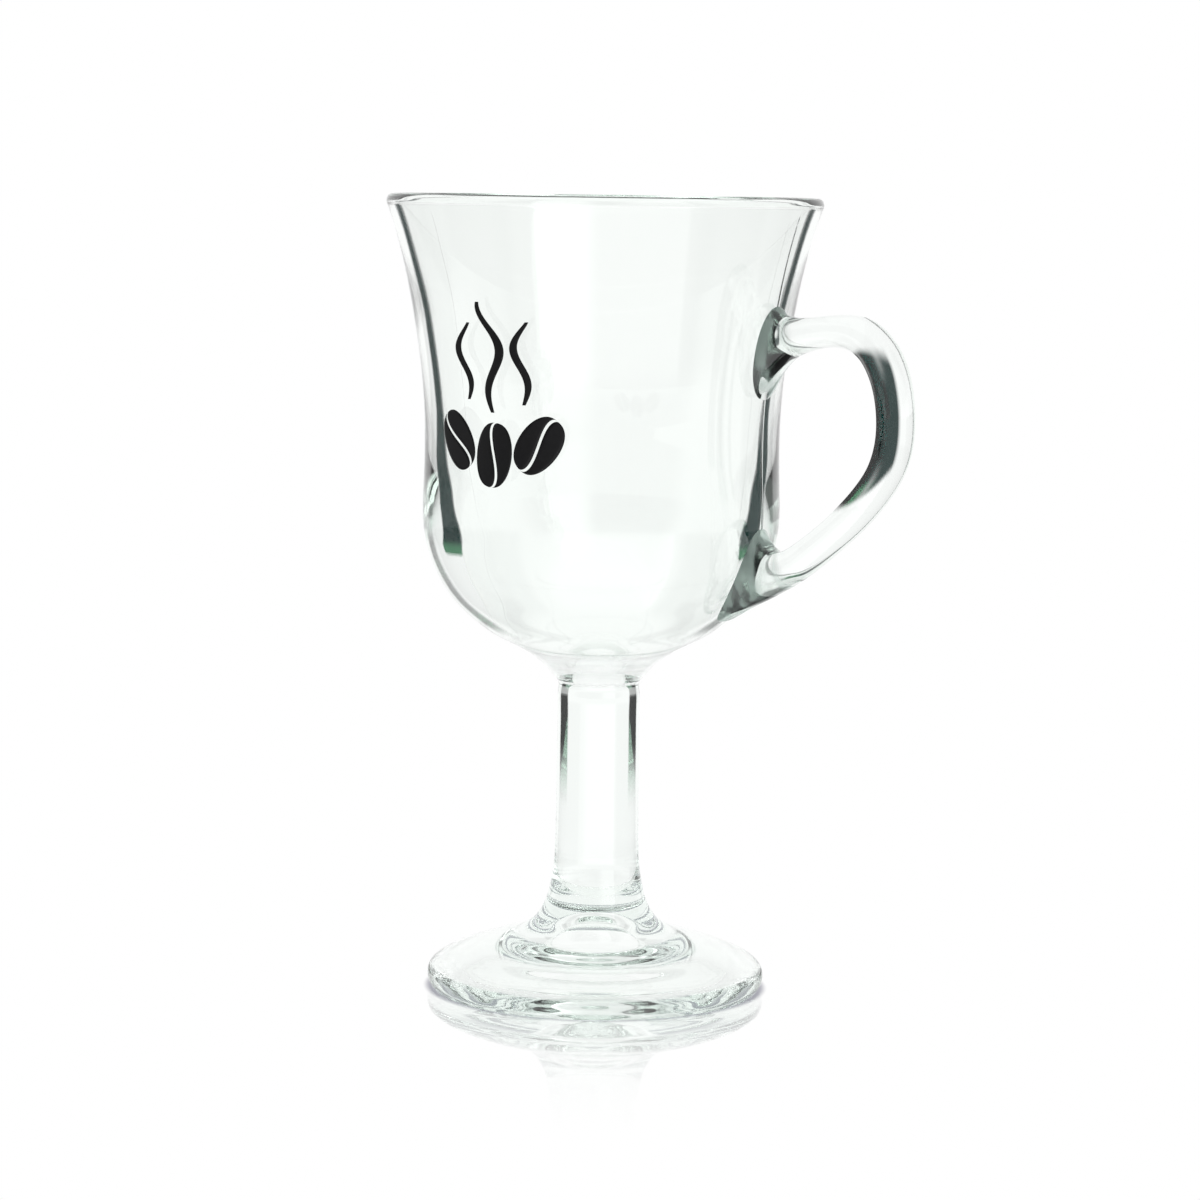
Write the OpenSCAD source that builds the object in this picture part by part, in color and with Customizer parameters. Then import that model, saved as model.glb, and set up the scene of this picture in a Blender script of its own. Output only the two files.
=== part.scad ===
// Footed glass mug for hot drinks with cream: a bell-shaped bowl on a solid
// stem and a domed foot, one side handle, and a fired enamel print opposite
// the drinker's hand. Millimetres, +Z up, the handle points along +X.
// The origin is the centre of the circle that the foot rests on.

/* [Mug] */
// Height from the table to the top of the rim
mug_h = 150; // [135:1:165]
// Outer diameter of the rim
rim_d = 82; // [76:1:88]
// Wall thickness just under the rim
wall = 2.3; // [1.8:0.1:3]
// Glass between the stem joint and the inside bottom of the bowl
base_t = 5; // [4.5:0.5:8]

/* [Stem and foot] */
// Diameter of the straight part of the stem
stem_d = 15.6; // [13:0.2:18]
// Outer diameter of the foot
foot_d = 64; // [58:1:70]
// Height of the hollow pressed up under the foot
punt_h = 13; // [9:0.5:14]

/* [Handle] */
// Distance from the mug's axis to the outside of the grip
handle_reach = 63.1; // [61:0.5:68]
// Thickness of the handle rod, seen from the side
grip_t = 6.2; // [5:0.1:7]
// Width of the handle rod, seen from its end
grip_w = 9.6; // [8:0.2:11]

/* [Print] */
// Thickness of the fired enamel
enamel_t = 0.1; // [0.06:0.01:0.2]
// Direction of the middle of the print, counted from the handle
print_turn = -98; // [-120:1:-60]

/* [Hidden] */

// scale factors against the nominal mug
kz = mug_h / 150;
kr = rim_d / 82;
ks = stem_d / 15.6;
kf = foot_d / 64;
kh = grip_w / 9.6;
kt = grip_t / 6.2;

function clamp01(x) = min(1, max(0, x));
function smooth(x) = let (t = clamp01(x)) t * t * (3 - 2 * t);
function mix(a, b, t) = a + (b - a) * t;

// smooth curve through hand-set points, n steps between two of them
function catmull(a, b, c, d, t) =
    0.5 * ((2 * b) + (c - a) * t + (2 * a - 5 * b + 4 * c - d) * t * t
           + (3 * b - a - 3 * c + d) * t * t * t);
function spline(p, n) = [
    for (i = [0 : len(p) - 2], k = [0 : n - 1])
        let (a = i > 0 ? p[i - 1] : 2 * p[0] - p[1], b = p[i], c = p[i + 1],
             d = i < len(p) - 2 ? p[i + 2] : 2 * p[i + 1] - p[i])
        catmull(a, b, c, d, k / n),
    p[len(p) - 1]
];

// ---- bowl profile: [radius, height] of the nominal mug
joint_z = 59;
foot_joint_z = 19;
joint_r = 8.0;
foot_joint_r = 8.9;
bowl_out = [
    [8.0, 59], [8.9, 60], [10.2, 61.5], [12.0, 63], [14.9, 65], [19.8, 67.5],
    [24.0, 70.5], [27.6, 74], [30.3, 78], [32.1, 82], [33.15, 86], [33.6, 90.5],
    [33.5, 96], [33.35, 102], [33.4, 108], [33.75, 114], [34.4, 120],
    [35.35, 126], [36.4, 132], [37.7, 138], [39.2, 143.5], [40.35, 147],
    [40.9, 148.4]
];
bowl_in = [
    [0, 64], [4, 64.1], [8, 64.5], [11, 65.4], [13.9, 67.3], [17, 69.7], [20, 72.5],
    [22.8, 75.9], [25, 79.6], [26.4, 83], [27.3, 86], [28.3, 90], [28.95, 94.5],
    [29.45, 99], [29.85, 105], [30.45, 112], [31.3, 119], [32.4, 125.5],
    [33.6, 131], [35.1, 137], [36.75, 143], [38.1, 147.2], [38.6, 148.6]
];
// near the stem the outside follows the stem's size, higher up the rim's
function out_k(z) = mix(ks, kr, smooth((z - joint_z) / 8));
function out_pt(p) = [p[0] * out_k(p[1]), p[1] * kz];
function in_pt(p) = [
    max(0, p[0] * kr - (wall - 2.3) * smooth((p[1] - 72) / 14)),
    p[1] * kz + (base_t - 5) * (1 - smooth((p[1] - 64) / 24))
];
bowl_curve = [for (p = spline(bowl_out, 3)) out_pt(p)];
in_curve = [for (p = spline(bowl_in, 3)) in_pt(p)];
// fire-polished rim between the two sides
rim_a = bowl_curve[len(bowl_curve) - 1];
rim_b = in_curve[len(in_curve) - 1];
rim_mid = (rim_a + rim_b) / 2;
rim_half = norm(rim_a - rim_b) / 2;
rim_arc = [
    for (i = [1 : 9])
        let (a = 18 * i) [
            rim_mid[0] + rim_half * cos(a),
            rim_mid[1] + (mug_h - rim_mid[1]) * sin(a)
        ]
];
bowl_ring = concat([[0, joint_z * kz]], bowl_curve, rim_arc,
                   [for (i = [len(in_curve) - 1 : -1 : 0]) in_curve[i]]);

// outer radius of the bowl at a height, for what sits on it
function radius_at(z, i = 0) =
    i >= len(bowl_curve) - 2 || z <= bowl_curve[i + 1][1]
        ? let (p = bowl_curve[i], q = bowl_curve[i + 1])
          mix(p[0], q[0], clamp01((z - p[1]) / (q[1] - p[1])))
        : radius_at(z, i + 1);

// ---- stem and foot profiles
stem_side = [
    [8.9, 19], [8.4, 21.5], [8.05, 24.5], [7.87, 30], [7.8, 38], [7.79, 46],
    [7.77, 53], [7.73, 56.5], [7.66, 58.1], [8.0, 59]
];
foot_top = [
    [8.9, 19], [9.5, 16.8], [10.35, 15], [11.45, 13.3], [13.0, 12],
    [15.8, 10.6], [19.5, 9.5], [22.8, 8.5], [25.7, 7.5], [29.1, 6],
    [30.65, 5], [31.5, 4.15], [31.92, 3.1], [31.95, 2.1], [31.65, 0.9],
    [31.0, 0]
];
foot_under = [
    [29.2, 0], [28.4, 0.5], [26, 1.9], [22.8, 3.2], [19.5, 4.2], [17.5, 4.55],
    [16, 4.6], [14.5, 4.5], [13, 4.5], [11.5, 4.7], [10, 5.2], [8.6, 6.0],
    [7.2, 7.4], [5.8, 9.4], [4.3, 11.2], [2.4, 12.5], [0, 13]
];
function foot_k(z) = mix(kf, ks, smooth((z - 8) / 11));
function foot_pt(p) = [p[0] * foot_k(p[1]), p[1] * kz];
function under_pt(p) = [p[0] * kf, p[1] * kz * mix(1, punt_h / 13, smooth((p[1] - 4.6) / 4))];

// ---- handle: [inner edge rho, z, outer edge rho, z, half width]
grip = [
    [31.5, 111, 33.2, 131.3, 5.7], [33.9, 113.4, 36.1, 130.3, 5.5],
    [35.2, 115.8, 37.0, 129.2, 5.2], [37.0, 118.4, 38.3, 128.6, 4.95],
    [39.3, 120.7, 40.2, 128.4, 4.75], [42.3, 122.15, 42.8, 128.55, 4.6],
    [45.3, 122.95, 45.6, 128.95, 4.55], [48.2, 123.2, 48.5, 129.2, 4.55],
    [50.9, 122.7, 52.3, 129.05, 4.6], [53.05, 121.35, 56.0, 127.5, 4.65],
    [54.6, 119.2, 59.3, 124.2, 4.7], [55.75, 116.6, 61.5, 120, 4.75],
    [56.6, 113.2, 62.75, 114.6, 4.8], [56.9, 109.6, 63.1, 109.7, 4.8],
    [56.6, 106, 62.7, 104.9, 4.8], [55.3, 102, 61.0, 99.8, 4.7],
    [52.95, 98.45, 57.9, 94.95, 4.5], [49.9, 95, 54.1, 90.5, 4.3],
    [44.75, 90.3, 48.85, 85.7, 4.1], [39.65, 86.4, 43.35, 81.2, 4.1],
    [37.3, 85.4, 40.3, 79.1, 4.25], [35.9, 85.9, 37.5, 77.5, 4.5],
    [34.9, 86.9, 34.2, 75.7, 4.9], [34.1, 88.2, 30.6, 73.9, 5.3],
    [33.4, 89.4, 26.4, 71.7, 5.6], [31.3, 90.3, 23.4, 72.7, 5.7]
];
sides = 28;
function stretch(r) = r * kr + (handle_reach - 63.1 * kr) * smooth((r - 37) / 18);
grip_rings = [
    for (s = spline(grip, 3))
        let (a = [stretch(s[0]), s[1] * kz], b = [stretch(s[2]), s[3] * kz],
             m = (a + b) / 2, h = (b - a) / 2 * kt, w = s[4] * kh)
        [for (k = [0 : sides - 1])
            let (t = 360 * k / sides, c = cos(t), q = sin(t),
                 e = pow(pow(abs(c), 2.25) + pow(abs(q), 2.25), -1 / 2.25))
            [m[0] + h[0] * c * e, w * q * e, m[1] + h[1] * c * e]]
];

// ---- a tube through rings of equal size, closed at both ends
module tube(rings) {
    n = len(rings);
    m = len(rings[0]);
    polyhedron(
        points = [for (r = rings) each r],
        faces = concat(
            [[for (k = [m - 1 : -1 : 0]) k]],
            [for (i = [0 : n - 2], k = [0 : m - 1])
                [i * m + k, i * m + (k + 1) % m, (i + 1) * m + (k + 1) % m]],
            [for (i = [0 : n - 2], k = [0 : m - 1])
                [i * m + k, (i + 1) * m + (k + 1) % m, (i + 1) * m + k]],
            [[for (k = [0 : m - 1]) (n - 1) * m + k]]));
}

// ---- print: flat ribbons laid on the outside of the bowl.
// A ribbon is a list of [[x, z] on one edge, [x, z] on the other].
print_z = 114;
function on_bowl(p, t) =
    let (z = (print_z + p[1]) * kz, r = radius_at(z),
         a = print_turn + p[0] * 180 / (PI * radius_at(print_z * kz)))
    [(r + t) * cos(a), (r + t) * sin(a), z];
module ribbon(edges) {
    tube([for (e = edges) [on_bowl(e[0], 0), on_bowl(e[1], 0),
                           on_bowl(e[1], enamel_t), on_bowl(e[0], enamel_t)]]);
}
// one half of a bean, between its outline and the groove
function turned(p, a) = [p[0] * cos(a) - p[1] * sin(a), p[0] * sin(a) + p[1] * cos(a)];
function bean_half(c, len, wid, turn, side) = [
    for (i = [0 : 14])
        let (u = -90 + 180 * i / 14, y = len / 2 * sin(u),
             edge = max(0.12, wid / 2 * pow(cos(u), 0.8)),
             groove = wid * 0.13 * sin(2 * u) * -1,
             gap = 0.28)
        side > 0
            ? [c + turned([groove + gap, y], turn),
               c + turned([max(groove + gap + 0.12, edge), y], turn)]
            : [c + turned([min(groove - gap - 0.12, -edge), y], turn),
               c + turned([groove - gap, y], turn)]
];
beans = [[[-9.4, -8.6], 11.6, 8, 36], [[0, -10.9], 11.8, 8, -6],
         [[9.4, -8.8], 11.6, 8, -40]];
// a wisp that swings from side to side and thins out upwards
function wisp(x0, z0, height, swing, turns, width, phase) = [
    for (i = [0 : 22])
        let (u = i / 22, a = phase + 360 * turns * u,
             x = x0 + swing * (0.45 + 0.55 * u) * sin(a),
             w = width * (0.18 + 0.82 * pow(sin(180 * (0.06 + 0.88 * u)), 0.8)) / 2)
        [[x - w, z0 + height * u], [x + w, z0 + height * u]]
];

module bowl() color([0.9, 0.96, 0.93, 0.45])
    rotate_extrude($fn = 144) polygon(bowl_ring);

module stem() color([0.86, 0.94, 0.91, 0.6])
    rotate_extrude($fn = 144)
        polygon(concat([[0, foot_joint_z * kz]],
                       [for (p = spline(stem_side, 3)) [p[0] * ks, p[1] * kz]],
                       [[0, joint_z * kz]]));

module foot() color([0.86, 0.94, 0.91, 0.6])
    rotate_extrude($fn = 144)
        polygon(concat([[0, foot_joint_z * kz]],
                       [for (p = spline(foot_top, 3)) foot_pt(p)],
                       [for (p = spline(foot_under, 2)) under_pt(p)]));

// everything inside the bowl's outer face, to seat the handle on it
module bowl_core() rotate_extrude($fn = 144)
    polygon(concat([[0, 62 * kz]],
                   [for (p = bowl_curve) if (p[1] > 62 * kz) p],
                   [[0, rim_a[1]]]));

module handle() color([0.88, 0.95, 0.92, 0.5])
    difference() {
        tube(grip_rings);
        bowl_core();
    }

module print_beans() color([0.07, 0.06, 0.06])
    for (b = beans, s = [-1, 1]) ribbon(bean_half(b[0], b[1], b[2], b[3], s));

module print_steam() color([0.07, 0.06, 0.06]) {
    ribbon(wisp(-6.2, -1.0, 14.0, 2.0, 1.1, 1.7, 20));
    ribbon(wisp(0.2, -3.2, 20.0, 2.3, 1.25, 1.9, 200));
    ribbon(wisp(6.4, -1.6, 15.0, 1.9, 1.1, 1.7, 10));
}

bowl();
stem();
foot();
handle();
print_beans();
print_steam();
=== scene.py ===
import bpy
import math
import numpy as np
from mathutils import Matrix, Vector


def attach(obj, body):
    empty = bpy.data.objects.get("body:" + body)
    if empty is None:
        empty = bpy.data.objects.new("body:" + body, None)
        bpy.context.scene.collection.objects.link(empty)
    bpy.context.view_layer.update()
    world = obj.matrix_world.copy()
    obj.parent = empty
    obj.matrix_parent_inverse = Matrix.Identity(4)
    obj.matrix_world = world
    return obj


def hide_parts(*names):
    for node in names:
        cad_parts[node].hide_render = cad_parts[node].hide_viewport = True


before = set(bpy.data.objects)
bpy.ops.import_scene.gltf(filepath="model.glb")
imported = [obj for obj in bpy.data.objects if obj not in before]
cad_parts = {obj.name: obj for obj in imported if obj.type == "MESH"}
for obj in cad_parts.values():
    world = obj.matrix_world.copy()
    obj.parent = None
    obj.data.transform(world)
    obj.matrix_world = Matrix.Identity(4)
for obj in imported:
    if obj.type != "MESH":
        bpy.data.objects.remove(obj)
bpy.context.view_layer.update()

MM = 0.001
GAP = 0.003          # mm left open between two faces of one weld
BACK = 28.0          # degrees: the photograph looks along this azimuth


# --------------------------------------------------------------- curves
def spline(points, n):
    """Natural cubic spline through points, by chord length, n steps to a span."""
    p = np.array(points, float)
    t = np.concatenate([[0], np.cumsum(np.linalg.norm(np.diff(p, axis=0), axis=1) ** 0.75)])
    h = np.diff(t)
    m = len(p)
    a = np.zeros((m, m))
    r = np.zeros_like(p)
    a[0, 0] = a[-1, -1] = 1
    for i in range(1, m - 1):
        a[i, i - 1], a[i, i], a[i, i + 1] = h[i - 1], 2 * (h[i - 1] + h[i]), h[i]
        r[i] = 6 * ((p[i + 1] - p[i]) / h[i] - (p[i] - p[i - 1]) / h[i - 1])
    k = np.linalg.solve(a, r)
    out = []
    for i in range(m - 1):
        for s in np.arange(n) / n:
            x = s * h[i]
            y = h[i] - x
            out.append(k[i] * y ** 3 / (6 * h[i]) + k[i + 1] * x ** 3 / (6 * h[i])
                       + (p[i] / h[i] - k[i] * h[i] / 6) * y
                       + (p[i + 1] / h[i] - k[i + 1] * h[i] / 6) * x)
    out.append(p[-1])
    return np.array(out)


def smooth(x):
    x = np.clip(x, 0, 1)
    return x * x * (3 - 2 * x)


# the mug's profiles, [radius, height] in mm, as in the CAD source
BOWL_OUT = [[8.0, 59], [8.9, 60], [10.2, 61.5], [12.0, 63], [14.9, 65], [19.8, 67.5],
            [24.0, 70.5], [27.6, 74], [30.3, 78], [32.1, 82], [33.15, 86], [33.6, 90.5],
            [33.5, 96], [33.35, 102], [33.4, 108], [33.75, 114], [34.4, 120],
            [35.35, 126], [36.4, 132], [37.7, 138], [39.2, 143.5], [40.35, 147],
            [40.88, 148.4]]
BOWL_IN = [[0, 64.0], [4, 64.1], [8, 64.5], [11, 65.4], [13.9, 67.3], [17, 69.7], [20, 72.5],
           [22.8, 75.9], [25, 79.6], [26.4, 83], [27.3, 86], [28.3, 90], [28.95, 94.5],
           [29.45, 99], [29.85, 105], [30.45, 112], [31.3, 119], [32.4, 125.5],
           [33.6, 131], [35.1, 137], [36.75, 143], [38.1, 147.2], [38.6, 148.6]]
STEM = [[8.9, 19], [8.4, 21.5], [8.05, 24.5], [7.87, 30], [7.8, 38], [7.79, 46],
        [7.77, 53], [7.73, 56.5], [7.66, 58.1], [8.0, 59]]
FOOT_TOP = [[8.9, 19], [9.5, 16.8], [10.35, 15], [11.45, 13.3], [13.0, 12],
            [15.8, 10.6], [19.5, 9.5], [22.8, 8.5], [25.7, 7.5], [29.1, 6],
            [30.65, 5], [31.5, 4.15], [31.92, 3.1], [31.95, 2.1], [31.65, 0.9], [31.0, 0]]
FOOT_UNDER = [[29.2, 0], [28.4, 0.5], [26, 1.9], [22.8, 3.2], [19.5, 4.2], [17.5, 4.55], [16, 4.6],
              [14.5, 4.5], [13, 4.5], [11.5, 4.7], [10, 5.2], [8.6, 6.0], [7.2, 7.4], [5.8, 9.4],
              [4.3, 11.2], [2.4, 12.5], [0, 13]]
GRIP = [[31.5, 111, 33.2, 131.3, 5.7], [33.9, 113.4, 36.1, 130.3, 5.5],
        [35.2, 115.8, 37.0, 129.2, 5.2], [37.0, 118.4, 38.3, 128.6, 4.95],
        [39.3, 120.7, 40.2, 128.4, 4.75], [42.3, 122.15, 42.8, 128.55, 4.6],
        [45.3, 122.95, 45.6, 128.95, 4.55], [48.2, 123.2, 48.5, 129.2, 4.55],
        [50.9, 122.7, 52.3, 129.05, 4.6], [53.05, 121.35, 56.0, 127.5, 4.65],
        [54.6, 119.2, 59.3, 124.2, 4.7], [55.75, 116.6, 61.5, 120, 4.75],
        [56.6, 113.2, 62.75, 114.6, 4.8], [56.9, 109.6, 63.1, 109.7, 4.8],
        [56.6, 106, 62.7, 104.9, 4.8], [55.3, 102, 61.0, 99.8, 4.7],
        [52.95, 98.45, 57.9, 94.95, 4.5], [49.9, 95, 54.1, 90.5, 4.3],
        [44.75, 90.3, 48.85, 85.7, 4.1], [39.65, 86.4, 43.35, 81.2, 4.1],
        [37.3, 85.4, 40.3, 79.1, 4.25], [35.9, 85.9, 37.5, 77.5, 4.5],
        [34.9, 86.9, 34.2, 75.7, 4.9], [34.1, 88.2, 30.6, 73.9, 5.3],
        [33.4, 89.4, 26.4, 71.7, 5.6], [31.3, 90.3, 23.4, 72.7, 5.7]]

outer = spline(BOWL_OUT, 8)
inner = spline(BOWL_IN, 8)
outer_z, outer_r = outer[:, 1], outer[:, 0]


def radius_at(z):
    return np.interp(z, outer_z, outer_r)


# --------------------------------------------------------------- mesh helpers
def mark(ob, key, values):
    """Stores one number per vertex under a name that the glass material reads."""
    at = ob.data.attributes.new(key, "FLOAT", "POINT")
    at.data.foreach_set("value", np.array(values, np.float32))


def make(name, verts, faces, weld=None, sharp=None, material=None):
    """verts in mm. weld is a number per vertex, over 0 inside a welded face."""
    me = bpy.data.meshes.new(name)
    me.from_pydata([tuple(v) for v in np.array(verts) * MM], [], [tuple(map(int, f)) for f in faces])
    me.validate()
    me.update()
    me.polygons.foreach_set("use_smooth", [True] * len(me.polygons))
    if weld is not None:
        at = me.attributes.new("weld", "FLOAT", "POINT")
        at.data.foreach_set("value", np.array(weld, np.float32))
    if sharp is not None:
        key = {tuple(sorted(e)) for e in sharp}
        flags = [tuple(sorted(e.vertices)) in key for e in me.edges]
        se = me.attributes.new("sharp_edge", "BOOLEAN", "EDGE")
        se.data.foreach_set("value", flags)
    ob = bpy.data.objects.new(name, me)
    bpy.context.scene.collection.objects.link(ob)
    if material is not None:
        me.materials.append(material)
    return ob


def angles(count, extra=()):
    """Angles round the axis, closer together near the mould seams."""
    a = list(np.linspace(0, 2 * math.pi, count, endpoint=False))
    for c in extra:
        a += [c + d for d in np.linspace(-0.035, 0.035, 29)]
    a = np.unique(np.round(np.mod(a, 2 * math.pi), 6))
    return a


def revolve(name, profile, turn, weld=None, corners=(), radius=None, material=None):
    """A closed solid of revolution. profile runs from the axis to the axis; corners are
    indices of profile points whose ring is a sharp edge."""
    n, m = len(profile), len(turn)
    verts, w, first = [], [], []
    for i, (r, z) in enumerate(profile):
        first.append(len(verts))
        if r <= 1e-9:
            verts.append((0, 0, z))
            w.append(0 if weld is None else weld[i])
        else:
            rr = np.full(m, r) if radius is None else radius(i, r, z, turn)
            for a, q in zip(turn, rr):
                verts.append((q * math.cos(a), q * math.sin(a), z))
                w.append(0 if weld is None else weld[i])
    faces, sharp = [], []
    for i in range(n - 1):
        pole_a, pole_b = profile[i][0] <= 1e-9, profile[i + 1][0] <= 1e-9
        for k in range(m):
            j = (k + 1) % m
            a0, a1 = first[i] + k, first[i] + j
            b0, b1 = first[i + 1] + k, first[i + 1] + j
            if pole_a and pole_b:
                continue
            if pole_a:
                faces.append((first[i], b1, b0))
            elif pole_b:
                faces.append((a0, a1, first[i + 1]))
            else:
                faces.append((a0, a1, b1, b0))
    for i in corners:
        sharp += [(first[i] + k, first[i] + (k + 1) % m) for k in range(m)]
    return make(name, verts, faces, w, sharp, material), np.array(verts), first


# --------------------------------------------------------------- materials
def new_material(name):
    mat = bpy.data.materials.new(name)
    mat.use_nodes = True
    mat.node_tree.nodes.clear()
    return mat, mat.node_tree.nodes, mat.node_tree.links


def math_node(N, L, op, a, b=None, clamp=False):
    n = N.new("ShaderNodeMath")
    n.operation = op
    n.use_clamp = clamp
    for i, x in enumerate((a, b)):
        if x is None:
            continue
        if isinstance(x, (int, float)):
            n.inputs[i].default_value = x
        else:
            L.new(x, n.inputs[i])
    return n.outputs[0]


def step(N, L, x, a, b, lo=0.0, hi=1.0):
    n = N.new("ShaderNodeMapRange")
    n.interpolation_type = "SMOOTHSTEP"
    n.inputs["From Min"].default_value = a
    n.inputs["From Max"].default_value = b
    n.inputs["To Min"].default_value = lo
    n.inputs["To Max"].default_value = hi
    L.new(x, n.inputs["Value"])
    return n.outputs["Result"]


def window(N, L, x, a, b, soft):
    """1 while x is between a and b, with soft edges."""
    return math_node(N, L, "MULTIPLY", step(N, L, x, a - soft, a + soft), step(N, L, x, b - soft, b + soft, 1.0, 0.0))


def glass(name, tint_and_painted_shade, density, wave, wave_scale):
    mat, N, L = new_material(name)
    out = N.new("ShaderNodeOutputMaterial")
    bsdf = N.new("ShaderNodeBsdfPrincipled")
    bsdf.inputs["Base Color"].default_value = (0.985, 1.0, 0.989, 1)
    bsdf.inputs["IOR"].default_value = 1.52
    bsdf.inputs["Transmission Weight"].default_value = 1.0
    bsdf.inputs["Roughness"].default_value = 0.0
    tex = N.new("ShaderNodeTexCoord")
    n1 = N.new("ShaderNodeTexNoise")
    n1.inputs["Scale"].default_value = wave_scale
    n1.inputs["Detail"].default_value = 1.5
    L.new(tex.outputs["Object"], n1.inputs["Vector"])
    bump = N.new("ShaderNodeBump")
    bump.inputs["Strength"].default_value = 1.0
    bump.inputs["Distance"].default_value = wave
    L.new(n1.outputs["Fac"], bump.inputs["Height"])
    L.new(bump.outputs["Normal"], bsdf.inputs["Normal"])
    n2 = N.new("ShaderNodeTexNoise")
    n2.inputs["Scale"].default_value = 90
    n2.inputs["Detail"].default_value = 4
    L.new(tex.outputs["Object"], n2.inputs["Vector"])
    mr = N.new("ShaderNodeMapRange")
    mr.inputs["From Min"].default_value = 0.52
    mr.inputs["From Max"].default_value = 0.8
    mr.inputs["To Min"].default_value = 0.0
    mr.inputs["To Max"].default_value = 0.035
    L.new(n2.outputs["Fac"], mr.inputs["Value"])
    L.new(mr.outputs["Result"], bsdf.inputs["Roughness"])

    # painted shade: the dark lines that a clear wall and a clear rod show near their edges, laid on by facing angle
    # and vertex attributes as a dark see-through shader
    lw = N.new("ShaderNodeLayerWeight")
    lw.inputs["Blend"].default_value = 0.5
    cosine = math_node(N, L, "SUBTRACT", 1.0, lw.outputs["Facing"])
    geo = N.new("ShaderNodeNewGeometry")
    behind = geo.outputs["Backfacing"]
    ahead = math_node(N, L, "SUBTRACT", 1.0, behind)

    def attribute(key):
        at = N.new("ShaderNodeAttribute")
        at.attribute_name = key
        return at.outputs["Fac"]

    low = attribute("band")
    on = attribute("band_on")
    over = math_node(N, L, "SUBTRACT", cosine, low)
    rise = step(N, L, over, -0.004, 0.003)
    fall = step(N, L, cosine, 0.751, 0.759, 1.0, 0.0)
    inside = math_node(N, L, "MULTIPLY", math_node(N, L, "MULTIPLY", rise, fall), behind)
    across = math_node(N, L, "MULTIPLY", step(N, L, cosine, 0.10, 0.16, 1.0, 0.0), ahead)
    wall = math_node(N, L, "MULTIPLY", math_node(N, L, "ADD", inside, across), on)
    rod = math_node(N, L, "MULTIPLY", math_node(N, L, "MULTIPLY", window(N, L, cosine, 0.39, 0.66, 0.02), ahead),
                    attribute("rod"))
    # painted shade over the handle's bend, wherever its vertex attribute is set
    bend = math_node(N, L, "MULTIPLY", attribute("tint_and_painted_shade"), ahead)
    outer_wall_shade = math_node(N, L, "MULTIPLY", math_node(N, L, "MULTIPLY", window(N, L, cosine, 0.17, 0.29, 0.03), ahead),
                    attribute("outer_wall_shade"))
    dark = math_node(N, L, "ADD", math_node(N, L, "ADD", wall, rod), math_node(N, L, "ADD", bend, outer_wall_shade))
    dark = math_node(N, L, "MULTIPLY", dark, 0.94, True)
    # painted shade colour: near black, turning green where the lines end low on the wall and on the handle
    painted_shade_bsdf = N.new("ShaderNodeBsdfTransparent")
    painted_shade_colour = N.new("ShaderNodeMix")
    painted_shade_colour.data_type = "RGBA"
    painted_shade_colour.inputs["A"].default_value = (0.0, 0.022, 0.02, 1)
    painted_shade_colour.inputs["B"].default_value = (0.05, 0.2, 0.1, 1)
    L.new(attribute("shade_green"), painted_shade_colour.inputs["Factor"])
    # the painted shade lines on the stem are lighter and green
    rod_colour = N.new("ShaderNodeMix")
    rod_colour.data_type = "RGBA"
    rod_colour.inputs["B"].default_value = (0.5, 0.64, 0.55, 1)
    L.new(attribute("stem_shade_green"), rod_colour.inputs["Factor"])
    L.new(painted_shade_colour.outputs["Result"], rod_colour.inputs["A"])
    L.new(rod_colour.outputs["Result"], painted_shade_bsdf.inputs["Color"])
    lined = N.new("ShaderNodeMixShader")
    L.new(dark, lined.inputs["Fac"])
    L.new(bsdf.outputs[0], lined.inputs[1])
    L.new(painted_shade_bsdf.outputs[0], lined.inputs[2])

    # pressed glass near the handle's roots is a little milky
    n3 = N.new("ShaderNodeTexNoise")
    n3.inputs["Scale"].default_value = 400
    n3.inputs["Detail"].default_value = 2
    stretch = N.new("ShaderNodeMapping")
    stretch.inputs["Rotation"].default_value = (0, 0.6, 0)
    stretch.inputs["Scale"].default_value = (1.0, 0.6, 0.25)
    L.new(tex.outputs["Object"], stretch.inputs["Vector"])
    L.new(stretch.outputs["Vector"], n3.inputs["Vector"])
    milk_a, milk_b, milk = (N.new("ShaderNodeBsdfDiffuse"), N.new("ShaderNodeBsdfTranslucent"),
                            N.new("ShaderNodeMixShader"))
    milk_a.inputs["Color"].default_value = (0.62, 0.76, 0.7, 1)
    milk_b.inputs["Color"].default_value = (0.62, 0.76, 0.7, 1)
    milk.inputs["Fac"].default_value = 0.5
    L.new(milk_a.outputs[0], milk.inputs[1])
    L.new(milk_b.outputs[0], milk.inputs[2])
    frosted = N.new("ShaderNodeMixShader")
    amount = math_node(N, L, "MULTIPLY", attribute("frost"),
                       step(N, L, n3.outputs["Fac"], 0.38, 0.6, 0.05, 0.55))
    L.new(amount, frosted.inputs["Fac"])
    L.new(lined.outputs[0], frosted.inputs[1])
    L.new(milk.outputs[0], frosted.inputs[2])

    clear = N.new("ShaderNodeBsdfTransparent")
    mix = N.new("ShaderNodeMixShader")
    through = math_node(N, L, "MAXIMUM", math_node(N, L, "GREATER_THAN", attribute("weld"), 1e-5), attribute("pale"))
    L.new(through, mix.inputs["Fac"])
    L.new(frosted.outputs[0], mix.inputs[1])
    L.new(clear.outputs[0], mix.inputs[2])
    L.new(mix.outputs[0], out.inputs["Surface"])
    vol = N.new("ShaderNodeVolumeAbsorption")
    vol.inputs["Color"].default_value = (*tint_and_painted_shade, 1)
    vol.inputs["Density"].default_value = density
    L.new(vol.outputs[0], out.inputs["Volume"])
    return mat


clear_glass = glass("clear_glass", (0.36, 0.74, 0.54), 3.0, 0.00002, 55)


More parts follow.
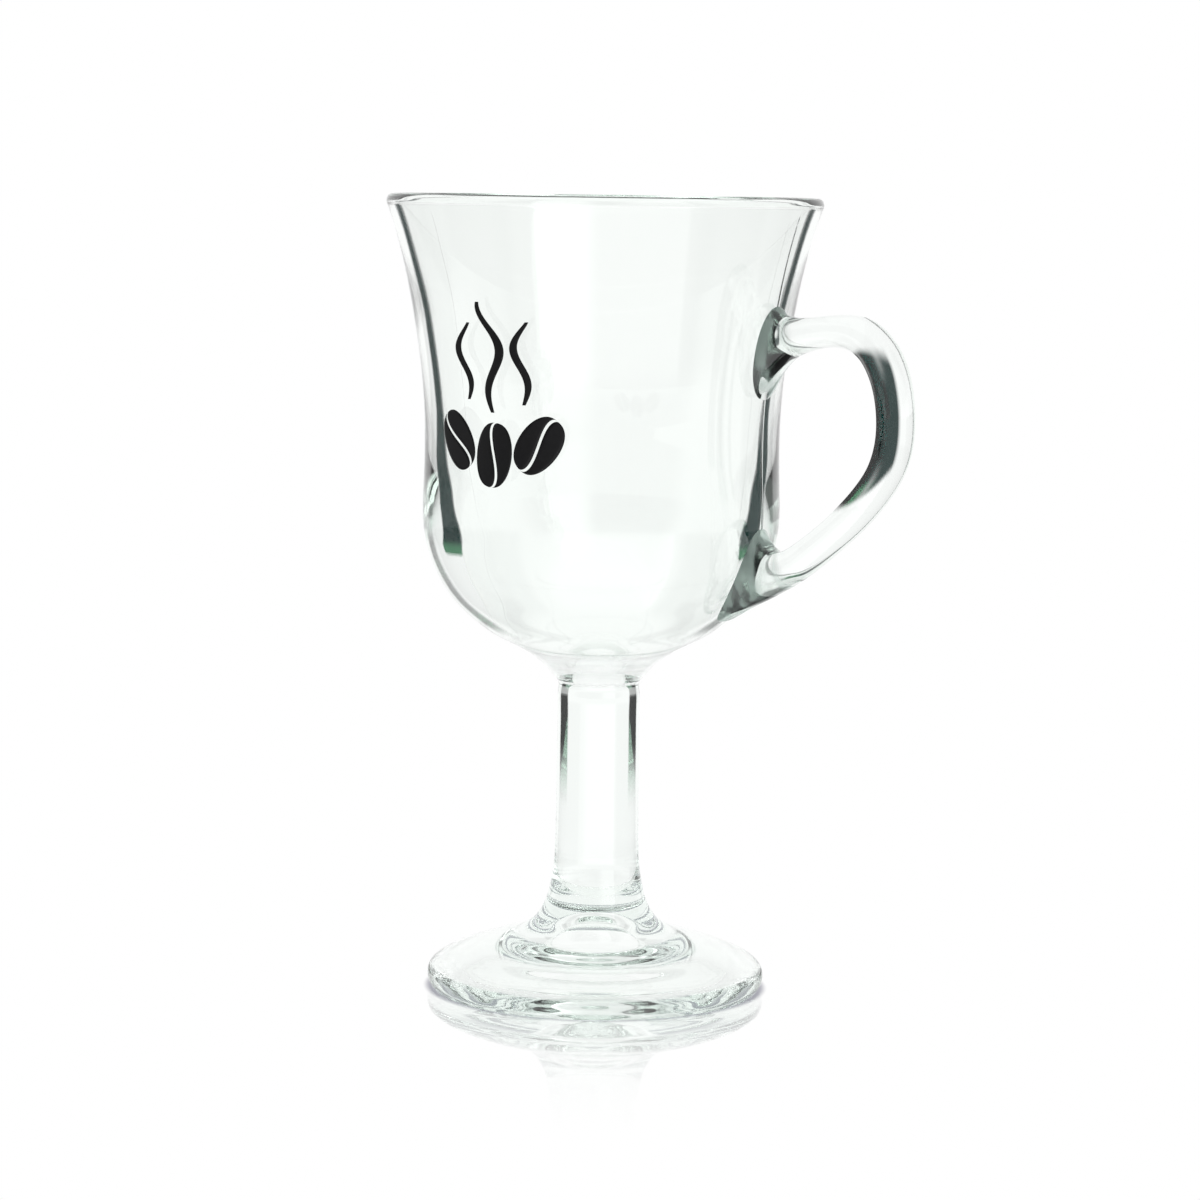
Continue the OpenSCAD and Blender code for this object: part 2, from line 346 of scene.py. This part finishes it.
def enamel_material():
    mat, N, L = new_material("black_enamel")
    out = N.new("ShaderNodeOutputMaterial")
    bsdf = N.new("ShaderNodeBsdfPrincipled")
    tex = N.new("ShaderNodeTexCoord")
    n = N.new("ShaderNodeTexNoise")
    n.inputs["Scale"].default_value = 900
    n.inputs["Detail"].default_value = 5
    L.new(tex.outputs["Object"], n.inputs["Vector"])
    ramp = N.new("ShaderNodeMapRange")
    ramp.inputs["To Min"].default_value = 0.28
    ramp.inputs["To Max"].default_value = 0.5
    L.new(n.outputs["Fac"], ramp.inputs["Value"])
    L.new(ramp.outputs["Result"], bsdf.inputs["Roughness"])
    col = N.new("ShaderNodeMix")
    col.data_type = "RGBA"
    col.inputs["A"].default_value = (0.003, 0.003, 0.0035, 1)
    col.inputs["B"].default_value = (0.011, 0.011, 0.012, 1)
    L.new(n.outputs["Fac"], col.inputs["Factor"])
    L.new(col.outputs["Result"], bsdf.inputs["Base Color"])
    bump = N.new("ShaderNodeBump")
    bump.inputs["Strength"].default_value = 0.5
    bump.inputs["Distance"].default_value = 0.00002
    L.new(n.outputs["Fac"], bump.inputs["Height"])
    L.new(bump.outputs["Normal"], bsdf.inputs["Normal"])
    bsdf.inputs["Specular IOR Level"].default_value = 0.15
    L.new(bsdf.outputs[0], out.inputs["Surface"])
    return mat


enamel = enamel_material()


# --------------------------------------------------------------- handle
SIDES = 72
grip = spline(GRIP, 40)
grip_s = np.arange(len(grip)) / 40.0
phi = np.arange(SIDES) * 2 * math.pi / SIDES
cs, sn = np.cos(phi), np.sin(phi)
ee = (np.abs(cs) ** 2.25 + np.abs(sn) ** 2.25) ** (-1 / 2.25)


def ring_at(s):
    """Ring points for s, an array of one number per side."""
    g = np.stack([np.interp(s, grip_s, grip[:, i]) for i in range(5)], 1)
    a, b = g[:, 0:2], g[:, 2:4]
    m, h = (a + b) / 2, (b - a) / 2
    x = m[:, 0] + h[:, 0] * cs * ee
    z = m[:, 1] + h[:, 1] * cs * ee
    y = g[:, 4] * sn * ee
    return np.stack([x, y, z], 1)


def crossing(lo, hi):
    """Where each side's line leaves the bowl, between stations lo (inside) and hi (outside)."""
    a, b = np.full(SIDES, float(lo)), np.full(SIDES, float(hi))
    for _ in range(50):
        c = (a + b) / 2
        p = ring_at(c)
        out = np.hypot(p[:, 0], p[:, 1]) > radius_at(p[:, 2]) + GAP
        b = np.where(out, c, b)
        a = np.where(out, a, c)
    return (a + b) / 2


last = len(GRIP) - 1
s_top, s_low = crossing(0, 3), crossing(last, last - 4)
u0, u1 = s_top.mean(), s_low.mean()
us = np.unique(np.concatenate([np.linspace(u0, u0 + 3, 40), np.linspace(u0 + 3, u1 - 4, 120),
                               np.linspace(u1 - 4, u1, 48)]))
rings = []
for u in us:
    s = u + (s_top - u0) * (1 - smooth((u - u0) / 3.0)) + (s_low - u1) * (1 - smooth((u1 - u) / 4.0))
    rings.append(ring_at(s))
rings[0], rings[-1] = ring_at(s_top), ring_at(s_low)


def on_surface(theta, z):
    r = radius_at(z) + GAP
    return np.stack([r * np.cos(theta), r * np.sin(theta), z], -1)


hv, hf, hw = [], [], []
for r in rings:
    hv += list(r)
    hw += [-1.0] * SIDES
nr = len(rings)
for k in range(SIDES):
    hw[k] = 0.0
    hw[(nr - 1) * SIDES + k] = 0.0
for i in range(nr - 1):
    for k in range(SIDES):
        j = (k + 1) % SIDES
        hf.append((i * SIDES + k, (i + 1) * SIDES + k, (i + 1) * SIDES + j, i * SIDES + j))
pads = []
for ring, base, flip in ((rings[0], 0, False), (rings[-1], (nr - 1) * SIDES, True)):
    th, z = np.arctan2(ring[:, 1], ring[:, 0]), ring[:, 2]
    pads.append((th, z))
    tc, zc = th.mean(), z.mean()
    prev = [base + k for k in range(SIDES)]
    for t in np.linspace(1, 0, 13)[1:-1]:
        start = len(hv)
        p = on_surface(tc + (th - tc) * t, zc + (z - zc) * t)
        hv += list(p)
        hw += [(1 - t) * 5.0] * SIDES
        cur = [start + k for k in range(SIDES)]
        for k in range(SIDES):
            j = (k + 1) % SIDES
            f = (prev[k], prev[j], cur[j], cur[k])
            hf.append(f[::-1] if flip else f)
        prev = cur
    c = len(hv)
    hv.append(on_surface(np.array(tc), np.array(zc)))
    hw.append(5.0)
    for k in range(SIDES):
        j = (k + 1) % SIDES
        f = (prev[k], prev[j], c)
        hf.append(f[::-1] if flip else f)
hsharp = [(b + k, b + (k + 1) % SIDES) for b in (0, (nr - 1) * SIDES) for k in range(SIDES)]
handle = make("handle_glass", hv, hf, hw, hsharp, clear_glass)


# painted shade: the dark part on the inner half of the grip's bend, painted green at its lower end; and the milky
# roots
shadow, shade_green, frost = np.zeros(len(hv)), np.zeros(len(hv)), np.zeros(len(hv))
for i, u in enumerate(us):
    row = slice(i * SIDES, (i + 1) * SIDES)
    lean = (cs + 0.8) / 1.5
    out_ = np.clip(lean, 0, 1.1)
    along = smooth((u - 8.5 - 1.3 * out_) / (0.4 + 0.7 * out_)) * smooth((17.3 - 2.5 * out_ ** 1.5 - u) / 0.5)
    # lighter streaks through the painted shade
    streak = 1 - 0.34 * np.exp(-((cs - 0.12 + 0.05 * (u - 13)) / 0.14) ** 2) * (smooth((11.6 - u) / 1.8) + smooth((u - 14.2) / 1.6))
    streak *= 1 - 0.3 * np.exp(-((cs + 0.62) / 0.1) ** 2) * smooth((12.5 - u) / 2.5)
    shadow[row] = along * smooth((0.74 - cs) / 0.08) * streak * smooth((cs + 0.99) / 0.07)
    shade_green[row] = smooth((u - 15.8 + 1.4 * lean) / 0.6) * smooth((0.75 - lean) / 0.4)
    frost[row] = smooth((u0 + 2.6 - u) / 1.4) + smooth((u - u1 + 3.2) / 1.6)
frost[nr * SIDES:] = 1.0
mark(handle, "tint_and_painted_shade", shadow)
mark(handle, "shade_green", shade_green)
mark(handle, "frost", frost)

# --------------------------------------------------------------- bowl
def pad_field(theta, z, pad):
    """Signed distance in mm from a pad's outline on the wall, over 0 inside it."""
    th, pz = pad
    px, py = th * 33.0, pz
    qx, qy = theta * 33.0, z
    inside = np.zeros(len(qx), bool)
    dist = np.full(len(qx), 1e9)
    n = len(px)
    for i in range(n):
        x0, y0, x1, y1 = px[i], py[i], px[(i + 1) % n], py[(i + 1) % n]
        dx, dy = x1 - x0, y1 - y0
        t = np.clip(((qx - x0) * dx + (qy - y0) * dy) / (dx * dx + dy * dy + 1e-12), 0, 1)
        dist = np.minimum(dist, np.hypot(qx - x0 - t * dx, qy - y0 - t * dy))
        cross = ((y0 > qy) != (y1 > qy)) & (qx < (x1 - x0) * (qy - y0) / (y1 - y0 + 1e-12) + x0)
        inside ^= cross
    return np.where(inside, dist, -dist)


rim_a, rim_b = outer[-1], inner[-1]
mid, half = (rim_a + rim_b) / 2, np.linalg.norm(rim_a - rim_b) / 2
rim = [[mid[0] + half * math.cos(a), mid[1] + (150 - mid[1]) * math.sin(a)]
       for a in np.linspace(0, math.pi, 25)[1:-1]]
profile = np.array([[0, 59]] + [[r, 59] for r in (2.5, 5, 7)] + outer.tolist() + rim + inner[::-1].tolist())
weld = np.full(len(profile), -1.0)
weld[0:4] = [8, 5.5, 3, 1]
weld[4] = 0.0
n_flat, n_out = 4, len(outer)
first_in = n_flat + n_out + len(rim)
turn = angles(288, (0, math.pi))


def seam(turn):
    """The mould's two parting lines, a low ridge in mm."""
    d = np.minimum(np.abs((turn + math.pi) % (2 * math.pi) - math.pi), np.abs(turn - math.pi)) * 34
    return 0.045 * np.exp(-(d / 0.22) ** 2)


def bowl_radius(i, r, z, turn):
    if n_flat < i < n_flat + n_out:
        return r + seam(turn) * smooth((z - 61) / 3) * smooth((148 - z) / 4)
    return np.full(len(turn), r)


bowl, bv, bfirst = revolve("bowl_glass", profile, turn, weld, (4,), bowl_radius, clear_glass)
field = np.array([-1.0] * len(bv))
wattr = bowl.data.attributes["weld"]
vals = np.zeros(len(bv), np.float32)
wattr.data.foreach_get("value", vals)
out_first, out_last = bfirst[n_flat + 1], bfirst[n_flat + n_out]
rng = np.arange(out_first, out_last)
th, zz = np.arctan2(bv[rng, 1], bv[rng, 0]), bv[rng, 2]
near = (np.abs(th) < 0.35) & (zz > 66) & (zz < 136)
idx = rng[near]
f = np.maximum(pad_field(th[near], zz[near], pads[0]), pad_field(th[near], zz[near], pads[1]))
vals[idx] = f
wattr.data.foreach_set("value", vals)
# painted shade on the cavity's side wall: the lowest cosine at which the painted dark edge line shows
low = np.interp(bv[:, 2], [84, 85, 86, 91, 100, 110, 140], [0.70, 0.688, 0.683, 0.701, 0.716, 0.733, 0.742])
side_wall = np.arange(len(bv)) >= bfirst[first_in]
mark(bowl, "band", low)
mark(bowl, "band_on", np.where(side_wall, smooth((bv[:, 2] - 84.2) / 0.6), 0.0))
# painted shade: the wall's dark line turns green below about 87 mm
mark(bowl, "shade_green", smooth((87.0 - bv[:, 2]) / 1.6))
# the floor of the cavity over the stem, left a little uneven by the plunger
bowl_r = np.hypot(bv[:, 0], bv[:, 1])
floor_r = side_wall & (bowl_r < 9)
mark(bowl, "pale", np.where(bv[:, 2] < 68, 0.8 * smooth((67.3 - bv[:, 2]) / 4), 0.0) * np.where(floor_r, 0.4, 1.0))
mark(bowl, "frost", np.where(side_wall & (bv[:, 2] < 66), smooth((8.4 - bowl_r) / 0.5), 0.0))
outer_wall = (np.arange(len(bv)) >= out_first) & (np.arange(len(bv)) < out_last)
# painted shade: dark lines on the outer wall between about 68 and 90 mm, at grazing angles
mark(bowl, "outer_wall_shade", np.where(outer_wall, 0.6 * smooth((bv[:, 2] - 68) / 3) * smooth((90 - bv[:, 2]) / 5), 0.0))

# --------------------------------------------------------------- stem and foot
plain_turn = angles(192)
leg = spline(STEM[::-1] + FOOT_TOP[1:], 8)
sp, ft = leg[:8 * (len(STEM) - 1) + 1][::-1].copy(), leg[8 * (len(STEM) - 1):].copy()
sp[0, 1] += GAP
sp[-1, 1] -= GAP
prof = np.array([[0, sp[0, 1]], [3, sp[0, 1]], [6, sp[0, 1]]] + sp.tolist()
                + [[6, sp[-1, 1]], [3, sp[-1, 1]], [0, sp[-1, 1]]])
w = np.full(len(prof), -1.0)
w[0:3] = [8.9, 5.9, 2.9]
w[3] = 0
w[-4] = 0
w[-3:] = [2, 5, 8]
stem, _, _ = revolve("stem_glass", prof, plain_turn, w, (3, len(prof) - 4), None, clear_glass)

sz = np.array([v.co.z for v in stem.data.vertices]) / MM
# painted shade: the dark lines along the upper stem, weaker at the notch under the bowl, their green growing lower
# down and at the notch
notch = smooth((sz - 56.3) / 0.5) * smooth((58.1 - sz) / 0.3)
mark(stem, "rod", 0.98 * smooth((sz - 34) / 14) * smooth((58.6 - sz) / 0.3) * (1 - 0.45 * notch))
mark(stem, "stem_shade_green", 0.76 + 0.24 * np.maximum(smooth((53 - sz) / 10), notch))

fu = spline(FOOT_UNDER, 8)
# from the axis under the foot, out along the underside, up the edge and in to the stem
prof = np.array(fu[::-1].tolist() + ft[::-1].tolist() + [[6, 19], [3, 19], [0, 19]])
w = np.full(len(prof), -1.0)
w[-4] = 0
w[-3:] = [2.9, 5.9, 8.9]
foot, _, _ = revolve("foot_glass", prof, plain_turn, w, (len(prof) - 4,), None, clear_glass)
fv = np.array([v.co for v in foot.data.vertices]) / MM
# the pressed edge is a little cloudy and lets the light straight through
mark(foot, "pale", 0.06 * smooth((np.hypot(fv[:, 0], fv[:, 1]) - 24) / 3) * smooth((5 - fv[:, 2]) / 1.5))


# --------------------------------------------------------------- print
PRINT_Z, PRINT_TURN, INK = 114.0, -98.0, 0.1


def on_bowl(p, t):
    z = PRINT_Z + p[1]
    r = float(radius_at(z)) + t
    a = math.radians(PRINT_TURN) + p[0] / float(radius_at(PRINT_Z))
    return (r * math.cos(a), r * math.sin(a), z)


def ribbons(name, lists):
    """Flat ribbons on the bowl. Each is a list of [[x, z], [x, z]], its two edges."""
    v, f = [], []
    cols = 7
    for edges in lists:
        base, n = len(v), len(edges)
        for a, b in edges:
            for layer in (GAP, INK):
                for c in range(cols):
                    t = c / (cols - 1)
                    q = (a[0] + (b[0] - a[0]) * t, a[1] + (b[1] - a[1]) * t)
                    crown = layer if layer == GAP else INK * (0.55 + 0.45 * (1 - abs(2 * t - 1) ** 4))
                    v.append(on_bowl(q, crown))
        row = 2 * cols
        for i in range(n - 1):
            p, q = base + i * row, base + (i + 1) * row
            for c in range(cols - 1):
                f.append((p + cols + c, p + cols + c + 1, q + cols + c + 1, q + cols + c))
                f.append((p + c + 1, p + c, q + c, q + c + 1))
            f.append((p, p + cols, q + cols, q))
            f.append((p + 2 * cols - 1, p + cols - 1, q + cols - 1, q + 2 * cols - 1))
        for s, e in ((base, False), (base + (n - 1) * row, True)):
            for c in range(cols - 1):
                g = (s + c, s + c + 1, s + cols + c + 1, s + cols + c)
                f.append(g[::-1] if e else g)
    return make(name, v, f, None, None, enamel)


def turned(p, a):
    c, s = math.cos(math.radians(a)), math.sin(math.radians(a))
    return (p[0] * c - p[1] * s, p[0] * s + p[1] * c)


def bean_half(c, length, width, turn_, side, n=48):
    out = []
    for i in range(n + 1):
        u = math.radians(-90 + 180 * i / n)
        y = length / 2 * math.sin(u)
        edge = max(0.12, width / 2 * math.cos(u) ** 0.8 if math.cos(u) > 1e-9 else 0)
        groove = -width * 0.13 * math.sin(2 * u)
        gap = 0.28
        if side > 0:
            a, b = (groove + gap, y), (max(groove + gap + 0.12, edge), y)
        else:
            a, b = (min(groove - gap - 0.12, -edge), y), (groove - gap, y)
        a, b = turned(a, turn_), turned(b, turn_)
        out.append([(c[0] + a[0], c[1] + a[1]), (c[0] + b[0], c[1] + b[1])])
    return out


def wisp(x0, z0, height, swing, turns, width, phase, n=72):
    out = []
    for i in range(n + 1):
        u = i / n
        a = math.radians(phase + 360 * turns * u)
        x = x0 + swing * (0.45 + 0.55 * u) * math.sin(a)
        w = width * (0.18 + 0.82 * math.sin(math.pi * (0.06 + 0.88 * u)) ** 0.8) / 2
        out.append([(x - w, z0 + height * u), (x + w, z0 + height * u)])
    return out


beans = ribbons("print_beans_ink", [bean_half(c, l, w_, t, s) for c, l, w_, t in
                (((-9.4, -8.6), 11.6, 8, 36), ((0, -10.9), 11.8, 8, -6), ((9.4, -8.8), 11.6, 8, -40))
                for s in (-1, 1)])
steam = ribbons("print_steam_ink", [wisp(-6.2, -1.0, 14.0, 2.0, 1.1, 1.7, 20),
                                    wisp(0.2, -3.2, 20.0, 2.3, 1.25, 1.9, 200),
                                    wisp(6.4, -1.6, 15.0, 1.9, 1.1, 1.7, 10)])

for piece, node, slot in ((bowl, "bowl", "clear_glass"), (stem, "stem", "clear_glass"),
                          (foot, "foot", "clear_glass"), (handle, "handle", "clear_glass"),
                          (beans, "print_beans", "enamel"), (steam, "print_steam", "enamel")):
    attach(piece, "root")
    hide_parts(node)

# --------------------------------------------------------------- stage
BR = math.radians(BACK)
back = Vector((-math.sin(BR), math.cos(BR), 0))
right = Vector((math.cos(BR), math.sin(BR), 0))


def sector(N, L, vec):
    """Degrees to the right of the photograph's back direction, from a direction or position."""
    sep = N.new("ShaderNodeSeparateXYZ")
    L.new(vec, sep.inputs[0])
    x, y = sep.outputs["X"], sep.outputs["Y"]
    r = math_node(N, L, "ADD", math_node(N, L, "MULTIPLY", x, right.x), math_node(N, L, "MULTIPLY", y, right.y))
    b = math_node(N, L, "ADD", math_node(N, L, "MULTIPLY", x, back.x), math_node(N, L, "MULTIPLY", y, back.y))
    return math_node(N, L, "MULTIPLY", math_node(N, L, "ARCTAN2", r, b), 180 / math.pi), sep.outputs["Z"]


world = bpy.data.worlds.new("studio")
bpy.context.scene.world = world
world.use_nodes = True
N, L = world.node_tree.nodes, world.node_tree.links
N.clear()
wo = N.new("ShaderNodeOutputWorld")
tc = N.new("ShaderNodeTexCoord")
alpha, zc = sector(N, L, tc.outputs["Generated"])
side = math_node(N, L, "ABSOLUTE", alpha)
# white behind and at the sides, a dim band above it, a bright ceiling
v = math_node(N, L, "SUBTRACT", 1.0, math_node(N, L, "MULTIPLY", window(N, L, zc, 0.36, 0.75, 0.07), 0.12))
# grey stands on both sides, just over the table
flag = math_node(N, L, "MULTIPLY", window(N, L, side, 38.0, 74.0, 3.0), window(N, L, zc, 0.12, 0.5, 0.05))
v = math_node(N, L, "MULTIPLY", v, math_node(N, L, "SUBTRACT", 1.0, math_node(N, L, "MULTIPLY", flag, 0.2)))
# the dim room on the camera's side, with a window to the right of the camera
dim = math_node(N, L, "MULTIPLY", step(N, L, side, 100.0, 125.0), step(N, L, zc, 0.6, 0.85, 1.0, 0.0))
v = math_node(N, L, "MULTIPLY", v, math_node(N, L, "SUBTRACT", 1.0, math_node(N, L, "MULTIPLY", dim, 0.85)))
lp = N.new("ShaderNodeLightPath")
mirrored = math_node(N, L, "SUBTRACT", lp.outputs["Is Glossy Ray"], lp.outputs["Is Transmission Ray"], True)
wing = math_node(N, L, "MULTIPLY", window(N, L, side, 66.0, 112.0, 8.0), window(N, L, zc, 0.08, 0.6, 0.06))
wing = math_node(N, L, "MULTIPLY", wing, mirrored)
v = math_node(N, L, "MULTIPLY", v, math_node(N, L, "SUBTRACT", 1.0, math_node(N, L, "MULTIPLY", wing, 0.8)))
pane = math_node(N, L, "MULTIPLY", step(N, L, alpha, 132.0, 134.0), step(N, L, alpha, 158.0, 179.0, 1.0, 0.0))
pane = math_node(N, L, "MULTIPLY", pane, window(N, L, zc, -0.02, 0.75, 0.06))
top = math_node(N, L, "ADD", v, math_node(N, L, "MULTIPLY", pane, 1.5))
bg_room, bg_white, mixw = (N.new("ShaderNodeBackground"), N.new("ShaderNodeBackground"),
                           N.new("ShaderNodeMixShader"))
L.new(top, bg_room.inputs["Color"])
bg_white.inputs["Color"].default_value = (1, 1, 1, 1)
L.new(lp.outputs["Is Camera Ray"], mixw.inputs["Fac"])
L.new(bg_room.outputs[0], mixw.inputs[1])
L.new(bg_white.outputs[0], mixw.inputs[2])
L.new(mixw.outputs[0], wo.inputs["Surface"])

# floor: a white table that glows, mirrors the foot and fades with distance
fm, N, L = new_material("white_table")
out = N.new("ShaderNodeOutputMaterial")
geo = N.new("ShaderNodeTexCoord")
alpha, _ = sector(N, L, geo.outputs["Object"])
ln = N.new("ShaderNodeVectorMath")
ln.operation = "LENGTH"
L.new(geo.outputs["Object"], ln.inputs[0])
dist = ln.outputs["Value"]
# painted contact shadow: a grey-violet ring in the table's glow round the foot's edge
contact_shadow = window(N, L, dist, 0.0297, 0.0322, 0.0008)
shade = N.new("ShaderNodeMix")
shade.data_type = "RGBA"
shade.inputs["A"].default_value = (1, 1, 1, 1)
shade.inputs["B"].default_value = (0.42, 0.42, 0.47, 1)
L.new(contact_shadow, shade.inputs["Factor"])
em = N.new("ShaderNodeEmission")
L.new(shade.outputs["Result"], em.inputs["Color"])
# painted reflection: the table glows dimmer far out at both sides, in place of dark cards, and only rays that the
# glass mirrors see it
side = math_node(N, L, "ABSOLUTE", alpha)
painted_dark_glow_far = math_node(N, L, "MULTIPLY", window(N, L, side, 36.0, 80.0, 3.0), step(N, L, dist, 0.3, 0.5))
lp2 = N.new("ShaderNodeLightPath")
mirrored = math_node(N, L, "SUBTRACT", lp2.outputs["Is Glossy Ray"], lp2.outputs["Is Transmission Ray"], True)
painted_dark_glow_far = math_node(N, L, "MULTIPLY", painted_dark_glow_far, mirrored)
# painted reflection: the table glows brighter in front of the mug and dimmer at both sides near it, and only rays
# that the glass mirrors see it
near = math_node(N, L, "MULTIPLY", step(N, L, dist, 0.03, 0.06), step(N, L, dist, 0.38, 0.6, 1.0, 0.0))
painted_bright_glow = math_node(N, L, "ADD", step(N, L, alpha, 132.0, 135.0), step(N, L, alpha, -155.0, -135.0, 1.0, 0.0))
painted_bright_glow = math_node(N, L, "MULTIPLY", math_node(N, L, "MULTIPLY", painted_bright_glow, near), mirrored)
painted_dark_glow_near = math_node(N, L, "MULTIPLY", window(N, L, side, 45.0, 128.0, 5.0), near)
painted_dark_glow_near = math_node(N, L, "MULTIPLY", painted_dark_glow_near, mirrored)
strength = math_node(N, L, "SUBTRACT", 1.0, math_node(N, L, "MULTIPLY", painted_dark_glow_far, 0.75))
strength = math_node(N, L, "SUBTRACT", strength, math_node(N, L, "MULTIPLY", painted_dark_glow_near, 0.85), True)
strength = math_node(N, L, "ADD", strength, math_node(N, L, "MULTIPLY", painted_bright_glow, 1.0))
L.new(strength, em.inputs["Strength"])
gl = N.new("ShaderNodeBsdfGlossy")
gl.inputs["Color"].default_value = (1, 1, 1, 1)
gl.inputs["Roughness"].default_value = 0.02
mx = N.new("ShaderNodeMixShader")
sep = N.new("ShaderNodeSeparateXYZ")
L.new(geo.outputs["Object"], sep.inputs[0])
depth = math_node(N, L, "ADD", math_node(N, L, "MULTIPLY", sep.outputs["X"], back.x),
                  math_node(N, L, "MULTIPLY", sep.outputs["Y"], back.y))
across = math_node(N, L, "ADD", math_node(N, L, "MULTIPLY", sep.outputs["X"], right.x),
                   math_node(N, L, "MULTIPLY", sep.outputs["Y"], right.y))
across = math_node(N, L, "ABSOLUTE", across)
mirror = math_node(N, L, "MULTIPLY", step(N, L, dist, 0.03, 0.115, 0.6, 0.0), step(N, L, depth, -0.034, 0.002, 1.0, 0.08))
mirror = math_node(N, L, "MULTIPLY", mirror, step(N, L, across, 0.034, 0.044, 1.0, 0.0))
L.new(math_node(N, L, "MULTIPLY", mirror, step(N, L, dist, 0.027, 0.031)), mx.inputs["Fac"])
L.new(em.outputs[0], mx.inputs[1])
L.new(gl.outputs[0], mx.inputs[2])
L.new(mx.outputs[0], out.inputs["Surface"])
me = bpy.data.meshes.new("table")
S = 12.0
me.from_pydata([(-S, -S, 0), (S, -S, 0), (S, S, 0), (-S, S, 0)], [], [(0, 1, 2, 3)])
me.materials.append(fm)
table = bpy.data.objects.new("table", me)
bpy.context.scene.collection.objects.link(table)
table.location = (0, 0, -0.00002)

# --------------------------------------------------------------- camera
cam_data = bpy.data.cameras.new("camera")
cam = bpy.data.objects.new("camera", cam_data)
bpy.context.scene.collection.objects.link(cam)
cam_data.sensor_width = 36.0
cam_data.lens = 3769.6 * 36.0 / 1200.0
cam_data.clip_start, cam_data.clip_end = 0.01, 60.0
pitch, roll = -0.110902, 0.0135036
fwd = back * math.cos(pitch) + Vector((0, 0, math.sin(pitch)))
up = right.cross(fwd)
r2 = right * math.cos(roll) + up * math.sin(roll)
u2 = -right * math.sin(roll) + up * math.cos(roll)
m = Matrix.Identity(4)
for i in range(3):
    m[i][0], m[i][1], m[i][2] = r2[i], u2[i], -fwd[i]
pos = back * (-0.70811) + Vector((0, 0, 0.15284))
for i in range(3):
    m[i][3] = pos[i]
cam.matrix_world = m
bpy.context.scene.camera = cam

sc = bpy.context.scene
sc.view_settings.view_transform = "Standard"
sc.cycles.max_bounces = 32
sc.cycles.transmission_bounces = 32
sc.cycles.glossy_bounces = 16
sc.cycles.transparent_max_bounces = 32
